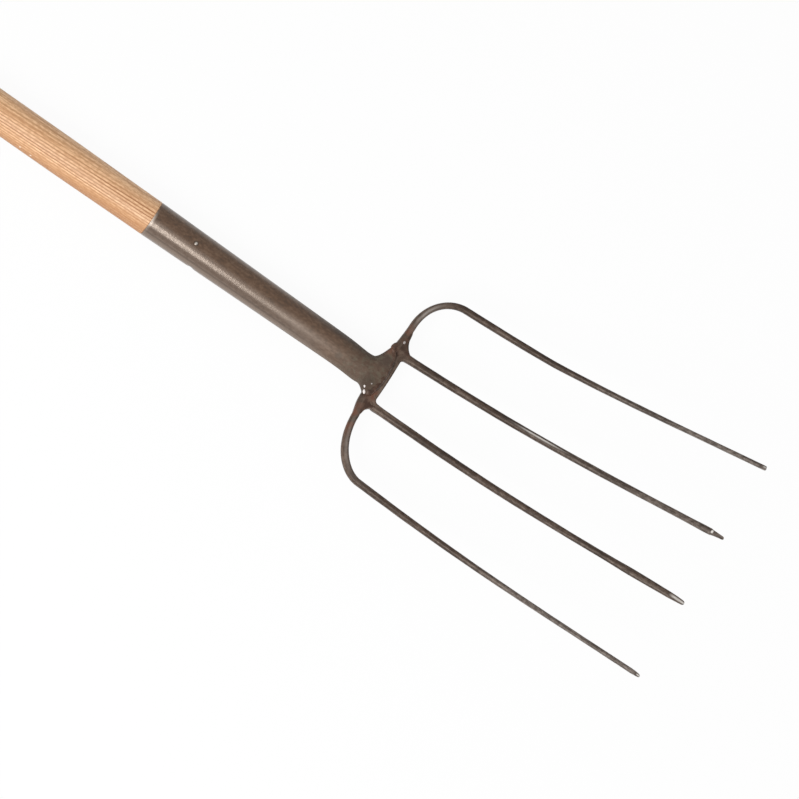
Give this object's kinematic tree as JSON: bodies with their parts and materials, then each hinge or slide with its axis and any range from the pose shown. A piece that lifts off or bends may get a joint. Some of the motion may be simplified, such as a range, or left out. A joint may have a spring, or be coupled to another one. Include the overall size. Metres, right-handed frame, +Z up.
{
  "type": "manure fork",
  "caption": "Long-handled manure fork: straight wooden shaft in a rolled steel socket, welded to a dished head of round, spread tines that are bent from steel bar and ground at their points.",
  "frame": {"origin": "on the floor, under the middle of the tool's length and on its middle plane, with the fork lying on its back", "axes": "+X along the handle towards the tines' points, +Y to the tool's left, +Z up, into the hollow of the tines"},
  "size_m": [1.7348, 0.2303, 0.1148],
  "materials": {
    "ash_wood": "smooth turned ash",
    "socket_steel": "clear lacquer over brown-grey rolled steel",
    "tine_steel": "clear lacquer over dark forged steel, bare at the ground points",
    "weld_steel": "heat-tinted weld metal under lacquer",
    "nail_steel": "bright steel"
  },
  "bodies": {
    "root": {"handle": "ash_wood", "socket": "socket_steel", "socket_nail": "nail_steel", "outer_tine_bow": "tine_steel", "inner_tine_bow": "tine_steel", "socket_weld": "weld_steel", "left_corner_weld": "weld_steel", "right_corner_weld": "weld_steel"}
  },
  "joints": []
}
